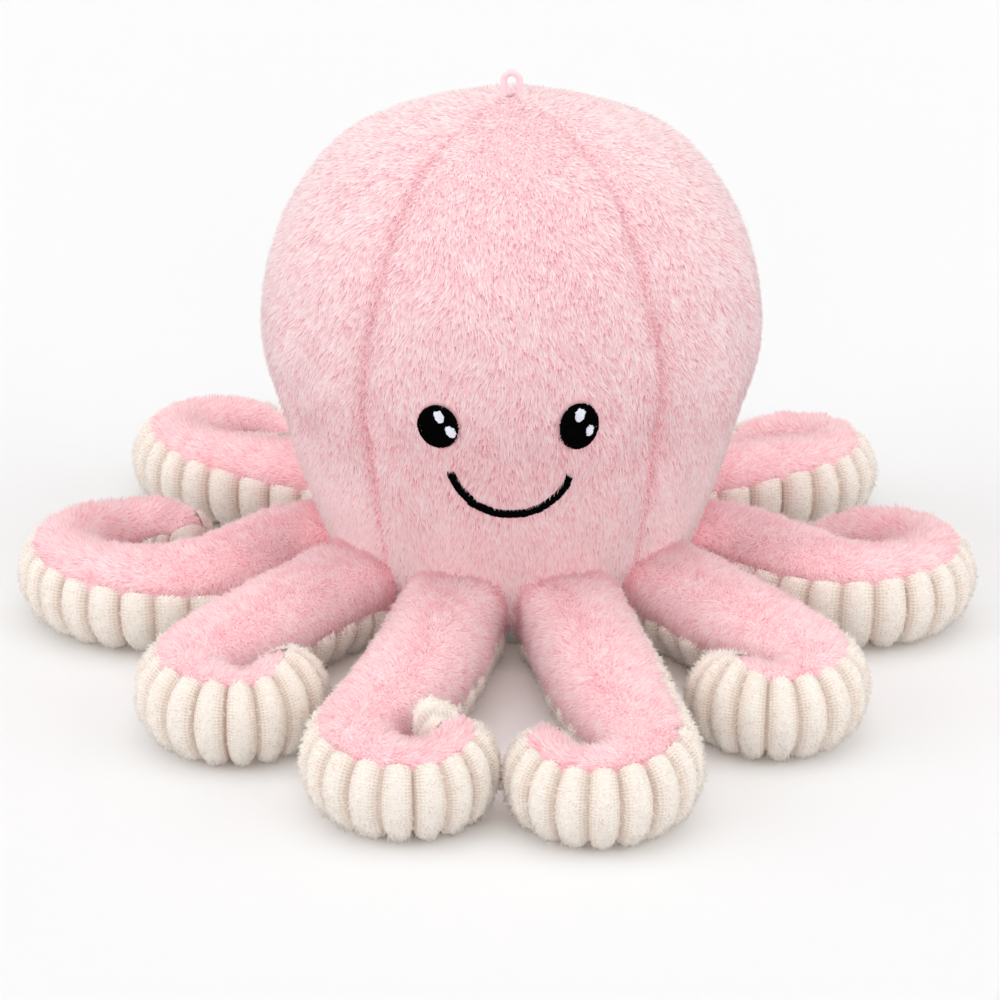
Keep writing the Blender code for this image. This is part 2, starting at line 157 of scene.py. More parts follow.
arms = {
    "halfWidth": 0.0225, "halfHeight": 0.0210, "rootBend": 0.030, "leadIn": 0.022, "toe": 0.0130,
    "step": 0.001, "skinDrop": 0.0008, "rootSquare": 0.45, "fillingDrop": 0.0055, "creaseReach": 0.040,
    "bareTip": {"arm_3": 0.005, "arm_4": 0.007},  # how far before the tip the pink piece ends
    "pinkToe": {"arm_5": 58},  # how far round the toe it reaches, in degrees, 42 for the others
    "tipKnob": {"arm_1": 0.0105},  # how far the tip stands out inside the curl, in cream cloth
    "knob": {"ahead": 0.003, "reach": 0.0105, "turn": 124, "spread": 30, "seamDrop": 43, "seamReach": 0.014},
    # how much taller the tip is
    "tipRise": {"arm_1": 0.005, "arm_2": 0.004, "arm_3": 0.008, "arm_4": 0.006, "arm_5": 0.005},
    # degrees that the outer seam lies higher by, and the inner one lower, at the root and at the tip
    "seamLift": {"arm_2": (26, 0), "arm_3": (0, 18), "arm_4": (0, 18), "arm_6": (16, 0),
                 "arm_7": (14, 14), "arm_8": (12, 12)},
    "innerDrop": {"arm_1": (7, 0), "arm_2": (16, 0), "arm_3": (4, 0), "arm_4": (6, 0), "arm_5": (0, 17)},
    # share of the length, half width and half height there as shares of the arm's
    "section": ((0.00, 0.933, 0.952), (0.12, 0.978, 0.976), (0.35, 1.000, 1.000), (0.55, 0.898, 0.971),
                (0.75, 0.780, 0.905), (0.92, 0.680, 0.790), (1.00, 0.575, 0.667)),
    # share of the length, degrees of the outer and the inner seam over the middle line
    "seam": ((0.00, 3, 3), (0.25, 13, 7), (0.50, 37, 11), (0.75, 51, 15), (0.92, 62, 31), (1.00, 69, 47)),
    "courses": {  # heading, sway, straight length, first and last radius of the curl, its turn
        "arm_1": (-8.6, 17, 0.112, 0.0214, 0.0190, 220),
        "arm_2": (8.9, 6, 0.119, 0.0214, 0.0188, -212),
        "arm_3": (-33.4, 3, 0.091, 0.0214, 0.0210, 218),
        "arm_4": (29.8, 9, 0.082, 0.0214, 0.0188, -207),
        "arm_5": (-36.8, 2, 0.038, 0.0474, 0.0314, -262),
        "arm_6": (41.6, 2, 0.052, 0.0294, 0.0336, 248),
        "arm_7": (-103, -3, 0.061, 0.0454, 0.0244, -225),
        "arm_8": (98.3, 1, 0.060, 0.0260, 0.0240, 234),
    },
}


def packedJoint(name):
    return [one for one in frame["joints"] if one["name"] == name][0]


def smoothTable(table, share, column=1):  # reads a column on a smooth curve through the table's rows
    rows = np.array(table, float)
    spot, value = rows[:, 0], rows[:, column]
    last = len(rows) - 1
    after = np.minimum(np.arange(len(rows)) + 1, last)
    before = np.maximum(np.arange(len(rows)) - 1, 0)
    slope = (value[after] - value[before]) / (spot[after] - spot[before])
    share = np.clip(share, spot[0], spot[-1])
    low = np.clip(np.searchsorted(spot, share) - 1, 0, last - 1)
    gap = spot[low + 1] - spot[low]
    part = (share - spot[low]) / gap
    square, cube = part ** 2, part ** 3
    return ((2 * cube - 3 * square + 1) * value[low] + (cube - 2 * square + part) * slope[low] * gap
            + (3 * square - 2 * cube) * value[low + 1] + (cube - square) * slope[low + 1] * gap)


def unit(vectors):
    return vectors / np.maximum(np.linalg.norm(vectors, axis=-1, keepdims=True), 1e-12)


def roundOff(rim):  # 0 on the flat, nearly 1 where rim is 1, on a quarter circle
    return 1 - np.sqrt(1 - rim ** 2 * 0.98)


def ripples(places, size, seed):  # smooth noise from -1 to 1, about that size across
    draw = np.random.default_rng(seed)
    total = np.zeros(places.shape[:-1])
    for wave in range(7):
        direction = unit(draw.normal(size=3)) * (2 * math.pi / size) * draw.uniform(0.6, 1.5)
        total += np.sin(places @ direction + draw.uniform(0, 2 * math.pi))
    return np.clip(total / 3.2, -1, 1)


# Meshes

def makeMesh(name, points, faces, finish, mapped=None, attributes=None, normals=None):
    mesh = bpy.data.meshes.new(name)
    size = faces.shape[1]
    mesh.vertices.add(len(points))
    mesh.vertices.foreach_set("co", points.astype(np.float32).ravel())
    mesh.loops.add(faces.size)
    mesh.loops.foreach_set("vertex_index", faces.astype(np.int32).ravel())
    mesh.polygons.add(len(faces))
    mesh.polygons.foreach_set("loop_start", np.arange(0, faces.size, size, dtype=np.int32))
    mesh.polygons.foreach_set("use_smooth", np.ones(len(faces), bool))
    if mapped is not None:
        layer = mesh.uv_layers.new(name=mapName)
        layer.uv.foreach_set("vector", mapped[faces.ravel()].astype(np.float32).ravel())
    for title, values in (attributes or {}).items():
        mesh.attributes.new(title, "FLOAT", "POINT").data.foreach_set("value", values.astype(np.float32))
    mesh.update(calc_edges=True)
    mesh.validate()
    if normals is not None:
        mesh.normals_split_custom_set_from_vertices(normals)
    mesh.materials.append(finish.material)
    piece = bpy.data.objects.new(name, mesh)
    bpy.context.scene.collection.objects.link(piece)
    return piece


def gridOf(first, second):  # start, end and count of the rows, then of the columns
    return np.meshgrid(np.linspace(*first), np.linspace(*second), indexing="ij")


def gridFaces(rows, columns, turned=False):
    corner = (np.arange(rows - 1)[:, None] * columns + np.arange(columns - 1)).ravel()
    faces = np.stack([corner, corner + 1, corner + columns + 1, corner + columns], 1)
    return faces[:, ::-1] if turned else faces


class Patch:
    # a grid of points over a piece of fabric, with its outward normals and the ways along it
    def __init__(self, points, middles):
        self.points = points
        along, across = np.gradient(points, axis=0), np.gradient(points, axis=1)
        self.along, self.across = unit(along), unit(across)
        self.normal = unit(np.cross(across, along))
        self.turned = (self.normal * (points - middles)).sum() < 0
        if self.turned:
            self.normal = -self.normal
        self.rows, self.columns = points.shape[:2]
        self.area = np.linalg.norm(np.cross(along, across), axis=2)

    def mesh(self, name, finish, attributes=None):
        rows, columns = gridOf((0, 1, self.rows), (0, 1, self.columns))
        mapped = np.stack([columns.ravel(), rows.ravel()], 1)
        return makeMesh(name, self.points.reshape(-1, 3), gridFaces(self.rows, self.columns, self.turned),
                        finish, mapped, attributes)

    def scatter(self, count, draw, weight=None):
        # evenly spread spots, each with its place, normal and ways along and across
        chance = self.area[:-1, :-1].copy()
        if weight is not None:
            chance *= weight[:-1, :-1]
        cell = draw.choice(chance.size, count, p=(chance / chance.sum()).ravel())
        row, column = np.divmod(cell, self.columns - 1)
        down, over = draw.random(count), draw.random(count)

        def read(field):
            shares = [(1 - down) * (1 - over), (1 - down) * over, down * (1 - over), down * over]
            corners = [field[row, column], field[row, column + 1], field[row + 1, column],
                       field[row + 1, column + 1]]
            if field.ndim == 3:
                shares = [share[:, None] for share in shares]
            return sum(share * corner for share, corner in zip(shares, corners))

        return {"place": read(self.points), "normal": unit(read(self.normal)),
                "along": unit(read(self.along)), "across": unit(read(self.across)), "read": read,
                "row": (row + down) / (self.rows - 1), "column": (column + over) / (self.columns - 1)}


def makePile(name, spots, heading, length, look, tone, draw, finish, floor):
    # each strand is a three-sided spike that leans over from its root, and none goes below the floor
    count = len(length)
    normal = spots["normal"]
    heading = unit(heading - normal * (heading * normal).sum(1, keepdims=True))
    side = np.cross(normal, heading)
    lean = np.radians(np.clip(draw.normal(look["lean"], look["leanSpread"], count), 4, 80))[:, None]
    shaft = heading * np.cos(lean) + normal * np.sin(lean)
    back = normal * np.cos(lean) - heading * np.sin(lean)
    width = (look["width"] * draw.uniform(0.75, 1.25, count))[:, None]
    root = spots["place"] - normal * look["sunk"]
    turned = draw.uniform(0, 2 * math.pi, count)
    points, normals = [], []
    for corner in range(3):
        angle = (turned + corner * 2 * math.pi / 3)[:, None]
        ray = side * np.cos(angle) + back * np.sin(angle)
        points.append(root + ray * width / 2)
        normals.append(unit(normal + ray * look["rounding"]))
    points.append(root + shaft * length[:, None])
    normals.append(unit(normal + heading * look["rounding"] * 0.5))
    points, normals = np.stack(points, 1), np.stack(normals, 1)
    points[..., 2] = np.maximum(points[..., 2], floor)
    start = np.arange(count)[:, None] * 4
    faces = np.concatenate([start + (0, 1, 3), start + (1, 2, 3), start + (2, 0, 3)])
    spread = look["mapSpread"]
    mapped = np.stack([np.clip(tone, 0.04, 0.96)[:, None] + (0, -spread, spread, 0),
                       np.broadcast_to((0.02, 0.02, 0.04, 0.98), (count, 4))], 2)
    piece = makeMesh(name, points.reshape(-1, 3), faces, finish, mapped.reshape(-1, 2),
                     normals=normals.reshape(-1, 3))
    piece.visible_shadow = False  # light passes through the strands, and the cloth casts the shadows
    piece.visible_diffuse = False
    piece.shadow_terminator_geometry_offset = 0  # or strands that lean towards the viewer go dark
    return piece


# Finishes of the pile: the tone and the place along a strand are in its map

def pileFinish(name, look):
    finish = Finish(name, 0.95, specular=0.05)
    tone, along = finish.readMap(mapName)
    dark = finish.node("ShaderNodeValToRGB", {"stops": look["dark"]}, {0: along})
    light = finish.node("ShaderNodeValToRGB", {"stops": look["light"]}, {0: along})
    finish.set("Base Color", finish.mix(tone, dark, light))
    return finish


# Each ramp darkens from tip to root: painted shade deep in the pile, as the strands cast no shadows on one
# another
headPileLook = {
    "dark": ((0.0, dye(198, 112, 124)), (0.45, dye(226, 162, 170)), (1.0, dye(241, 199, 204))),
    "light": ((0.0, dye(233, 190, 194)), (0.45, dye(247, 223, 224)), (1.0, dye(254, 243, 242))),
}
armPileLook = {
    "dark": ((0.0, dye(214, 120, 131)), (0.45, dye(238, 164, 172)), (1.0, dye(249, 198, 203))),
    "light": ((0.0, dye(243, 184, 189)), (0.45, dye(253, 216, 219)), (1.0, dye(255, 239, 239))),
}
creamPileLook = {
    "dark": ((0.0, dye(218, 188, 166)), (0.5, dye(237, 217, 201)), (1.0, dye(246, 233, 221))),
    "light": ((0.0, dye(243, 228, 215)), (0.5, dye(252, 245, 238)), (1.0, dye(255, 252, 248))),
}
pinkPile = pileFinish("pinkPile", headPileLook)
armPinkPile = pileFinish("armPinkPile", armPileLook)
creamPile = pileFinish("creamPile", creamPileLook)

# Backing cloth under the pink pile
pinkCloth = Finish("pinkCloth", 0.95, 0.1)
clothGrain = pinkCloth.noise(900)
pinkCloth.set("Base Color", pinkCloth.mix(clothGrain, dye(238, 180, 187), dye(246, 200, 205)))
pinkCloth.bump(clothGrain, 0.0003)

# Cream ribbed knit: painted shade darkens it down in the grooves, with rows of purl loops on the flanks of
# the ribs
creamKnit = Finish("creamKnit", 0.95, 0.2)
grooveShade, flanks = creamKnit.attribute("groove"), creamKnit.attribute("flank")
wales, courses = creamKnit.attribute("wale"), creamKnit.attribute("knitCourse")
knitLoops = creamKnit.sine(wales) * creamKnit.sine(courses)
knitMottle = creamKnit.noise(700)
creamShade = creamKnit.mix(knitMottle, dye(240, 226, 213), dye(252, 246, 239))
purlRows = (creamKnit.sine(wales) * 0.5 + 0.5) * (creamKnit.sine(courses) * 0.35 + 0.65)
creamShade = creamKnit.mix(purlRows * (flanks * 0.55 + 0.10), creamShade, dye(208, 172, 148))
# painted shade down in the grooves
creamShade = creamKnit.mix(grooveShade, creamShade, dye(190, 150, 124))
creamKnit.set("Base Color", creamShade)
creamKnit.bump(knitLoops * 0.4 + knitMottle, 0.0004)

# Embroidery thread, cord and filling
def threadFinish(name, low, high, roughness, sheen=0.0, specular=0.4):
    finish = Finish(name, roughness, sheen, 0.5, specular)
    grain = finish.noise(1600, 2)
    finish.set("Base Color", finish.mix(grain, low, high))
    finish.set("Roughness", grain * 0.2 + (roughness - 0.1))
    finish.bump(grain, 0.0001)
    return finish


blackThread = threadFinish("blackThread", dye(2, 2, 2), dye(9, 9, 10), 0.70, 0.0, 0.0)
whiteThread = threadFinish("whiteThread", dye(214, 220, 232), dye(240, 243, 250), 0.6)
pinkCord = threadFinish("pinkCord", dye(244, 200, 208), dye(253, 226, 231), 0.75, 0.3)
whiteFibre = threadFinish("whiteFibre", dye(232, 230, 226), dye(250, 249, 247), 0.95, 0.3)
print("finishes made")


# Camera, lamps and floor

view = {"place": (-0.0050, -1.094, 0.485), "pitch": 67.93, "lens": 93.67}
cameraData = bpy.data.cameras.new("camera")
cameraData.lens = view["lens"]
cameraData.sensor_width = 36
camera = bpy.data.objects.new("camera", cameraData)
camera.location = view["place"]
camera.rotation_euler = (math.radians(view["pitch"]), 0, 0)
bpy.context.scene.collection.objects.link(camera)
bpy.context.scene.camera = camera

studio = {
    # the floor's cool colour offsets the orange of the glow where the floor is lit, so the lit floor stays
    # white
    "sky": 0.06, "backdrop": 1.0, "floor": (0.755, 0.785, 0.805, 1),
    "floorGlow": 0.09, "glowColour": (1, 0.61, 0.39, 1),  # painted warm bounce light: an orange glow that warms the shadow, seen by the camera alone
    "lamps": (  # name, from where, its angle in degrees, strength
        ("top", (0.0, -0.1, 1.0), 70, 1.55),
        ("front", (0.0, -1.0, 0.24), 40, 1.05),
        ("left", (-1.0, -0.2, 0.3), 70, 2.0),
        ("right", (1.0, -0.2, 0.3), 70, 1.75),
        ("back", (0.0, 1.0, 0.8), 90, 0.7)),
}

for lampName, lampFrom, lampAngle, lampStrength in studio["lamps"]:
    lampData = bpy.data.lights.new(lampName, "SUN")
    lampData.angle = math.radians(lampAngle)
    lampData.energy = lampStrength
    lampData.cycles.use_multiple_importance_sampling = False  # or half the light is lost on the strands
    lamp = bpy.data.objects.new(lampName, lampData)
    lamp.location = lampFrom
    lamp.rotation_euler = Vector(lampFrom).to_track_quat("Z", "Y").to_euler()
    bpy.context.scene.collection.objects.link(lamp)

world = bpy.data.worlds.new("studio")
bpy.context.scene.world = world
world.use_nodes = True
sky = world.node_tree
skyRays = sky.nodes.new("ShaderNodeLightPath")
skySum = sky.nodes.new("ShaderNodeMath")  # adds its two inputs
skySum.use_clamp = True
sky.links.new(skyRays.outputs["Is Camera Ray"], skySum.inputs[0])
sky.links.new(skyRays.outputs["Is Glossy Ray"], skySum.inputs[1])
skyLevel = sky.nodes.new("ShaderNodeMapRange")
skyLevel.inputs["To Min"].default_value = studio["sky"]
skyLevel.inputs["To Max"].default_value = studio["backdrop"]
sky.links.new(skySum.outputs[0], skyLevel.inputs["Value"])
sky.nodes["Background"].inputs["Color"].default_value = (1, 1, 1, 1)
sky.links.new(skyLevel.outputs[0], sky.nodes["Background"].inputs["Strength"])

bpy.ops.mesh.primitive_plane_add(size=8, location=(0, 0, -0.0004))
floorPiece = bpy.context.object
floorPiece.name = "floor"
floorFinish = Finish("floor", 0.9)
floorFinish.set("Base Color", studio["floor"])
floorFinish.set("Emission Color", studio["glowColour"])
floorRays = floorFinish.node("ShaderNodeLightPath")
floorFinish.set("Emission Strength", floorRays * studio["floorGlow"])
floorPiece.data.materials.append(floorFinish.material)
bpy.context.scene.view_settings.view_transform = "Standard"
print("camera, lamps and floor placed")


# Head

outline = np.array(head["outline"]) * (head["height"], head["radius"])  # level, radius
outlineRun = np.append(0, np.cumsum(np.linalg.norm(np.diff(outline, axis=0), axis=1)))
outlineTable = np.column_stack([outlineRun / outlineRun[-1], outline])


def seamAngle(seam, level):  # a seam's angle at a level; the front gore's two seams spread
    spread = smoothTable(head["spread"], level / head["height"])
    turned = (seam + 180) % 360 - 180
    return seam + spread * np.sign(turned) * (abs(turned) < 40)


def headPoint(share, across, first, last, drop=0.0):
    # share runs up the outline and across from seam to seam, both as arrays
    level, radius = smoothTable(outlineTable, share, 1), smoothTable(outlineTable, share, 2)
    first, last = seamAngle(first, level), seamAngle(last, level)
    nudge = 0.002
    climb = smoothTable(outlineTable, share + nudge, 1) - smoothTable(outlineTable, share - nudge, 1)
    widen = smoothTable(outlineTable, share + nudge, 2) - smoothTable(outlineTable, share - nudge, 2)
    slope = np.hypot(climb, widen)
    fade = np.minimum(level / head["valleyFade"], 1)
    crease = head["creaseShare"]  # share of the valley that is a narrow crease along the seam
    valley = (1 - crease) * np.abs(across) ** 3 + crease * np.exp((np.abs(across) - 1) / head["creaseReach"])
    sink = head["valleyShare"] * radius * fade ** 2 * valley + drop
    fuller, middle, reach = head["shoulder"]
    sink = sink + head["footDrop"] - (head["footDrop"] + head["plump"]) * fade
    sink = sink - fuller * np.exp(-((level - middle) / reach) ** 2)
    radius = np.maximum(radius - sink * climb / slope, 0.0004)
    level = level + sink * widen / slope
    angle = np.radians((first + last) / 2 + across * (last - first) / 2)
    return np.stack([radius * np.sin(angle), -radius * np.cos(angle), level], -1)


face = {
    "eyes": (("left", -16.15, 0.1161, (0.0175, 0.0198)), ("right", 14.4, 0.1166, (0.0165, 0.0211))),
    "stray": 0.05,  # share of the strands that lie over the rim of an eye
    "smileWidth": 0.0482, "smileDepth": 0.0188, "smileLevel": 0.0934, "smileStroke": 0.0027,
    "smileAside": -0.0004, "smileTilt": -2.2, "headRadius": 0.0985,  # at the eyes
}
smileHalf = face["smileWidth"] / 2
smileRadius = (smileHalf ** 2 + face["smileDepth"] ** 2) / (2 * face["smileDepth"])
smileCentre = face["smileLevel"] - face["smileDepth"] + smileRadius
smileReach = math.acos((smileRadius - face["smileDepth"]) / smileRadius)


def faceClear(places, stray):  # 1 where a strand's point is clear of the embroidery, seen from the front
    clear = np.ones(len(places), bool)
    for _, angle, level, size in face["eyes"]:
        turn = np.degrees(np.arctan2(places[:, 0], -places[:, 1])) - angle
        across = np.radians(turn) * face["headRadius"] / (size[0] / 2)
        up = (places[:, 2] - level) / (size[1] / 2)
        clear &= across ** 2 + up ** 2 > np.where(stray, 0.72, 0.93)
    aside, down = places[:, 0] - face["smileAside"], smileCentre - places[:, 2]
    turn = np.arctan2(aside, down) - math.radians(face["smileTilt"])
    away = np.abs(np.hypot(aside, down) - smileRadius)
    clear &= (away > face["smileStroke"] * 0.36) | (np.abs(turn) > smileReach * 1.01)
    return clear


headPile = {
    "count": 38000, "length": 0.0042, "width": 0.00085, "lean": 27, "leanSpread": 8, "sunk": 0.0002,
    "rounding": 0.35, "mapSpread": 0.012, "rows": 150, "columns": 61, "sway": 0.42, "lowest": 0.0145,
    "lowTone": 0.5, "hemTone": 0.8, "hem": 0.027,  # how much paler low down, painted light, and how much darker at the hem, painted shade low between the arms
    # darker along the seams, broadly and in a narrow crease, as painted shade in the seam valleys; paler
    # towards the sides and back, as painted light
    "tone": 0.52, "toneSpread": 0.35, "edgeTone": 0.12, "seamTone": 0.70, "backTone": 0.20,
    "seamShort": 0.50, "edgeSway": 0.35,  # strands at the seams are shorter and lean away from them
    "floor": 0.0004,
}


def makeGore(index, gore):
    first, last = head["seams"][index], head["seams"][index + 1]
    rows, columns = gridOf((0, 1, headPile["rows"]), (-1, 1, headPile["columns"]))
    skin = Patch(headPoint(rows, columns, first, last), head["middle"])
    cloth = skin.mesh(gore + "Gore", pinkCloth)
    draw = np.random.default_rng(100 + index)
    spots = skin.scatter(int(headPile["count"] * (last - first) / 60), draw)
    place = spots["place"]
    sway = (ripples(place, 0.030, 7) * headPile["sway"] + ripples(place, 0.008, 8) * 0.22
            + draw.normal(0, 0.16, len(place)))
    across = spots["column"] * 2 - 1
    edge = np.exp((np.abs(across) - 1) * 14)
    sway = sway - np.sign(across) * edge * headPile["edgeSway"]
    heading = -spots["along"] + spots["across"] * sway[:, None]
    seam = np.exp((np.abs(across) - 1) * 30)
    length = headPile["length"] * (1 + 0.16 * ripples(place, 0.006, 9)) * draw.uniform(0.8, 1.2, len(place))
    length = length * (1 - headPile["seamShort"] * seam)
    tone = headPile["tone"] + 0.12 * ripples(place, 0.012, 10) + 0.05 * ripples(place, 0.05, 11)
    tone = tone + draw.normal(0, headPile["toneSpread"], len(place))
    # painted shade in the seam valleys, then painted light towards the sides and back and low down, and
    # painted shade at the hem
    tone = tone - edge * headPile["edgeTone"] - seam * headPile["seamTone"]
    behind = np.clip(1 + place[:, 1] / np.hypot(place[:, 0], place[:, 1]), 0, 1)
    tone = tone + headPile["backTone"] * behind
    tone = tone + headPile["lowTone"] * np.clip(2 - place[:, 2] / 0.05, 0, 1)
    tone = tone - headPile["hemTone"] * np.clip((headPile["hem"] - place[:, 2]) / 0.010, 0, 1)
    keep = place[:, 2] > headPile["lowest"]
    if index == 0:
        flat = unit(heading)
        stray = draw.random(len(place)) < face["stray"]
        for reach in (0.0, 0.5, 0.9):
            keep &= faceClear(place + flat * (length * reach)[:, None], stray)
    spots = {key: value[keep] for key, value in spots.items() if key != "read"}
    pile = makePile(gore + "GorePile", spots, heading[keep], length[keep], headPile, tone[keep], draw,
                    pinkPile, headPile["floor"])
    for piece in (cloth, pile):
        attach(piece, "body")
    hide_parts(gore.replace("Right", "_right").replace("Left", "_left") + "_gore")


for goreIndex, goreName in enumerate(head["gores"]):
    makeGore(goreIndex, goreName)
print("head gores and their pile made")

# The filling, and the round panel under the head
fillRows, fillTurns = gridOf((0.03, 1, 40), (-1, 1, 73))
fillSkin = headPoint(fillRows, np.ones_like(fillRows), 0, 0, head["fillingDrop"])
fillTurn = fillTurns * math.pi
fillRadius = np.hypot(fillSkin[..., 0], fillSkin[..., 1])
fillPoints = np.stack([fillRadius * np.sin(fillTurn), -fillRadius * np.cos(fillTurn), fillSkin[..., 2]], -1)
headFilling = Patch(fillPoints, head["middle"]).mesh("headFilling", whiteFibre)
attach(headFilling, "body")
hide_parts("head_filling")

basePanel = {"radius": 0.068, "lift": 0.0012, "height": 0.0030, "round": 0.004, "rings": 26, "sides": 97,
             "strands": 9000, "middle": (0, 0, 0.05)}
baseRings, baseTurns = gridOf((0.002, 1, basePanel["rings"]), (0, 2 * math.pi, basePanel["sides"]))
baseEdge = np.clip((baseRings - 1) * basePanel["radius"] / basePanel["round"] + 1, 0, 1)
basePoints = np.stack([baseRings * basePanel["radius"] * np.cos(baseTurns),
                       baseRings * basePanel["radius"] * np.sin(baseTurns),
                       basePanel["lift"] + basePanel["height"] * (1 - np.sqrt(1 - baseEdge ** 2))], -1)
baseSkin = Patch(basePoints, basePanel["middle"])
baseCloth = baseSkin.mesh("basePanel", pinkCloth)
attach(baseCloth, "body")
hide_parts("base_panel")
basePile = {**headPile, "length": 0.0022, "lean": 14, "leanSpread": 4, "sunk": 0.0, "width": 0.0008,
            "floor": 0.0001}
baseDraw = np.random.default_rng(50)
baseSpots = baseSkin.scatter(basePanel["strands"], baseDraw)
baseWay = baseSpots["across"] * ripples(baseSpots["place"], 0.02, 51)[:, None] + (0, 0.6, 0)
baseTone = 0.45 + 0.2 * ripples(baseSpots["place"], 0.01, 52)
baseTone = baseTone + baseDraw.normal(0, 0.2, basePanel["strands"])
baseNap = makePile("basePanelPile", baseSpots, baseWay, np.full(basePanel["strands"], basePile["length"]),
                   basePile, baseTone, baseDraw, pinkPile, basePile["floor"])
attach(baseNap, "body")

# The rim of the cream base cloth, which shows between the arms
rim = {"low": 0.0004, "high": 0.0150, "proud": 0.0006, "tuck": 0.003, "rows": 9, "sides": 121,
       "strands": 5000, "middle": (0, 0, 0.008)}
rimPile = {**basePile, "length": 0.0020, "lean": 34, "leanSpread": 14, "width": 0.00062}
rimLevels, rimTurns = gridOf((rim["low"], rim["high"], rim["rows"]), (0, 2 * math.pi, rim["sides"]))
rimRadius = np.interp(rimLevels, outlineTable[:, 1], outlineTable[:, 2]) - head["footDrop"] + rim["proud"]
rimRadius = rimRadius - rim["tuck"] * np.abs(np.linspace(-1, 1, rim["rows"]))[:, None] ** 6
rimPoints = np.stack([rimRadius * np.cos(rimTurns), rimRadius * np.sin(rimTurns), rimLevels], -1)
rimSkin = Patch(rimPoints, rim["middle"])
rimPlain = {title: np.zeros(rimLevels.size) for title in ("groove", "wale", "knitCourse", "flank")}
rimCloth = rimSkin.mesh("baseRim", creamKnit, rimPlain)
rimDraw = np.random.default_rng(55)
rimSpots = rimSkin.scatter(rim["strands"], rimDraw)
rimWay = rimSpots["across"] * rimDraw.normal(0, 1, rim["strands"])[:, None] + rimSpots["along"]
rimTone = 0.5 + rimDraw.normal(0, 0.25, rim["strands"])
rimNap = makePile("baseRimPile", rimSpots, rimWay, np.full(rim["strands"], rimPile["length"]), rimPile,
                  rimTone, rimDraw, creamPile, rimPile["floor"])
for rimPiece in (rimCloth, rimNap):
    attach(rimPiece, "body")
print("filling, base panel and its rim made")


# Arms

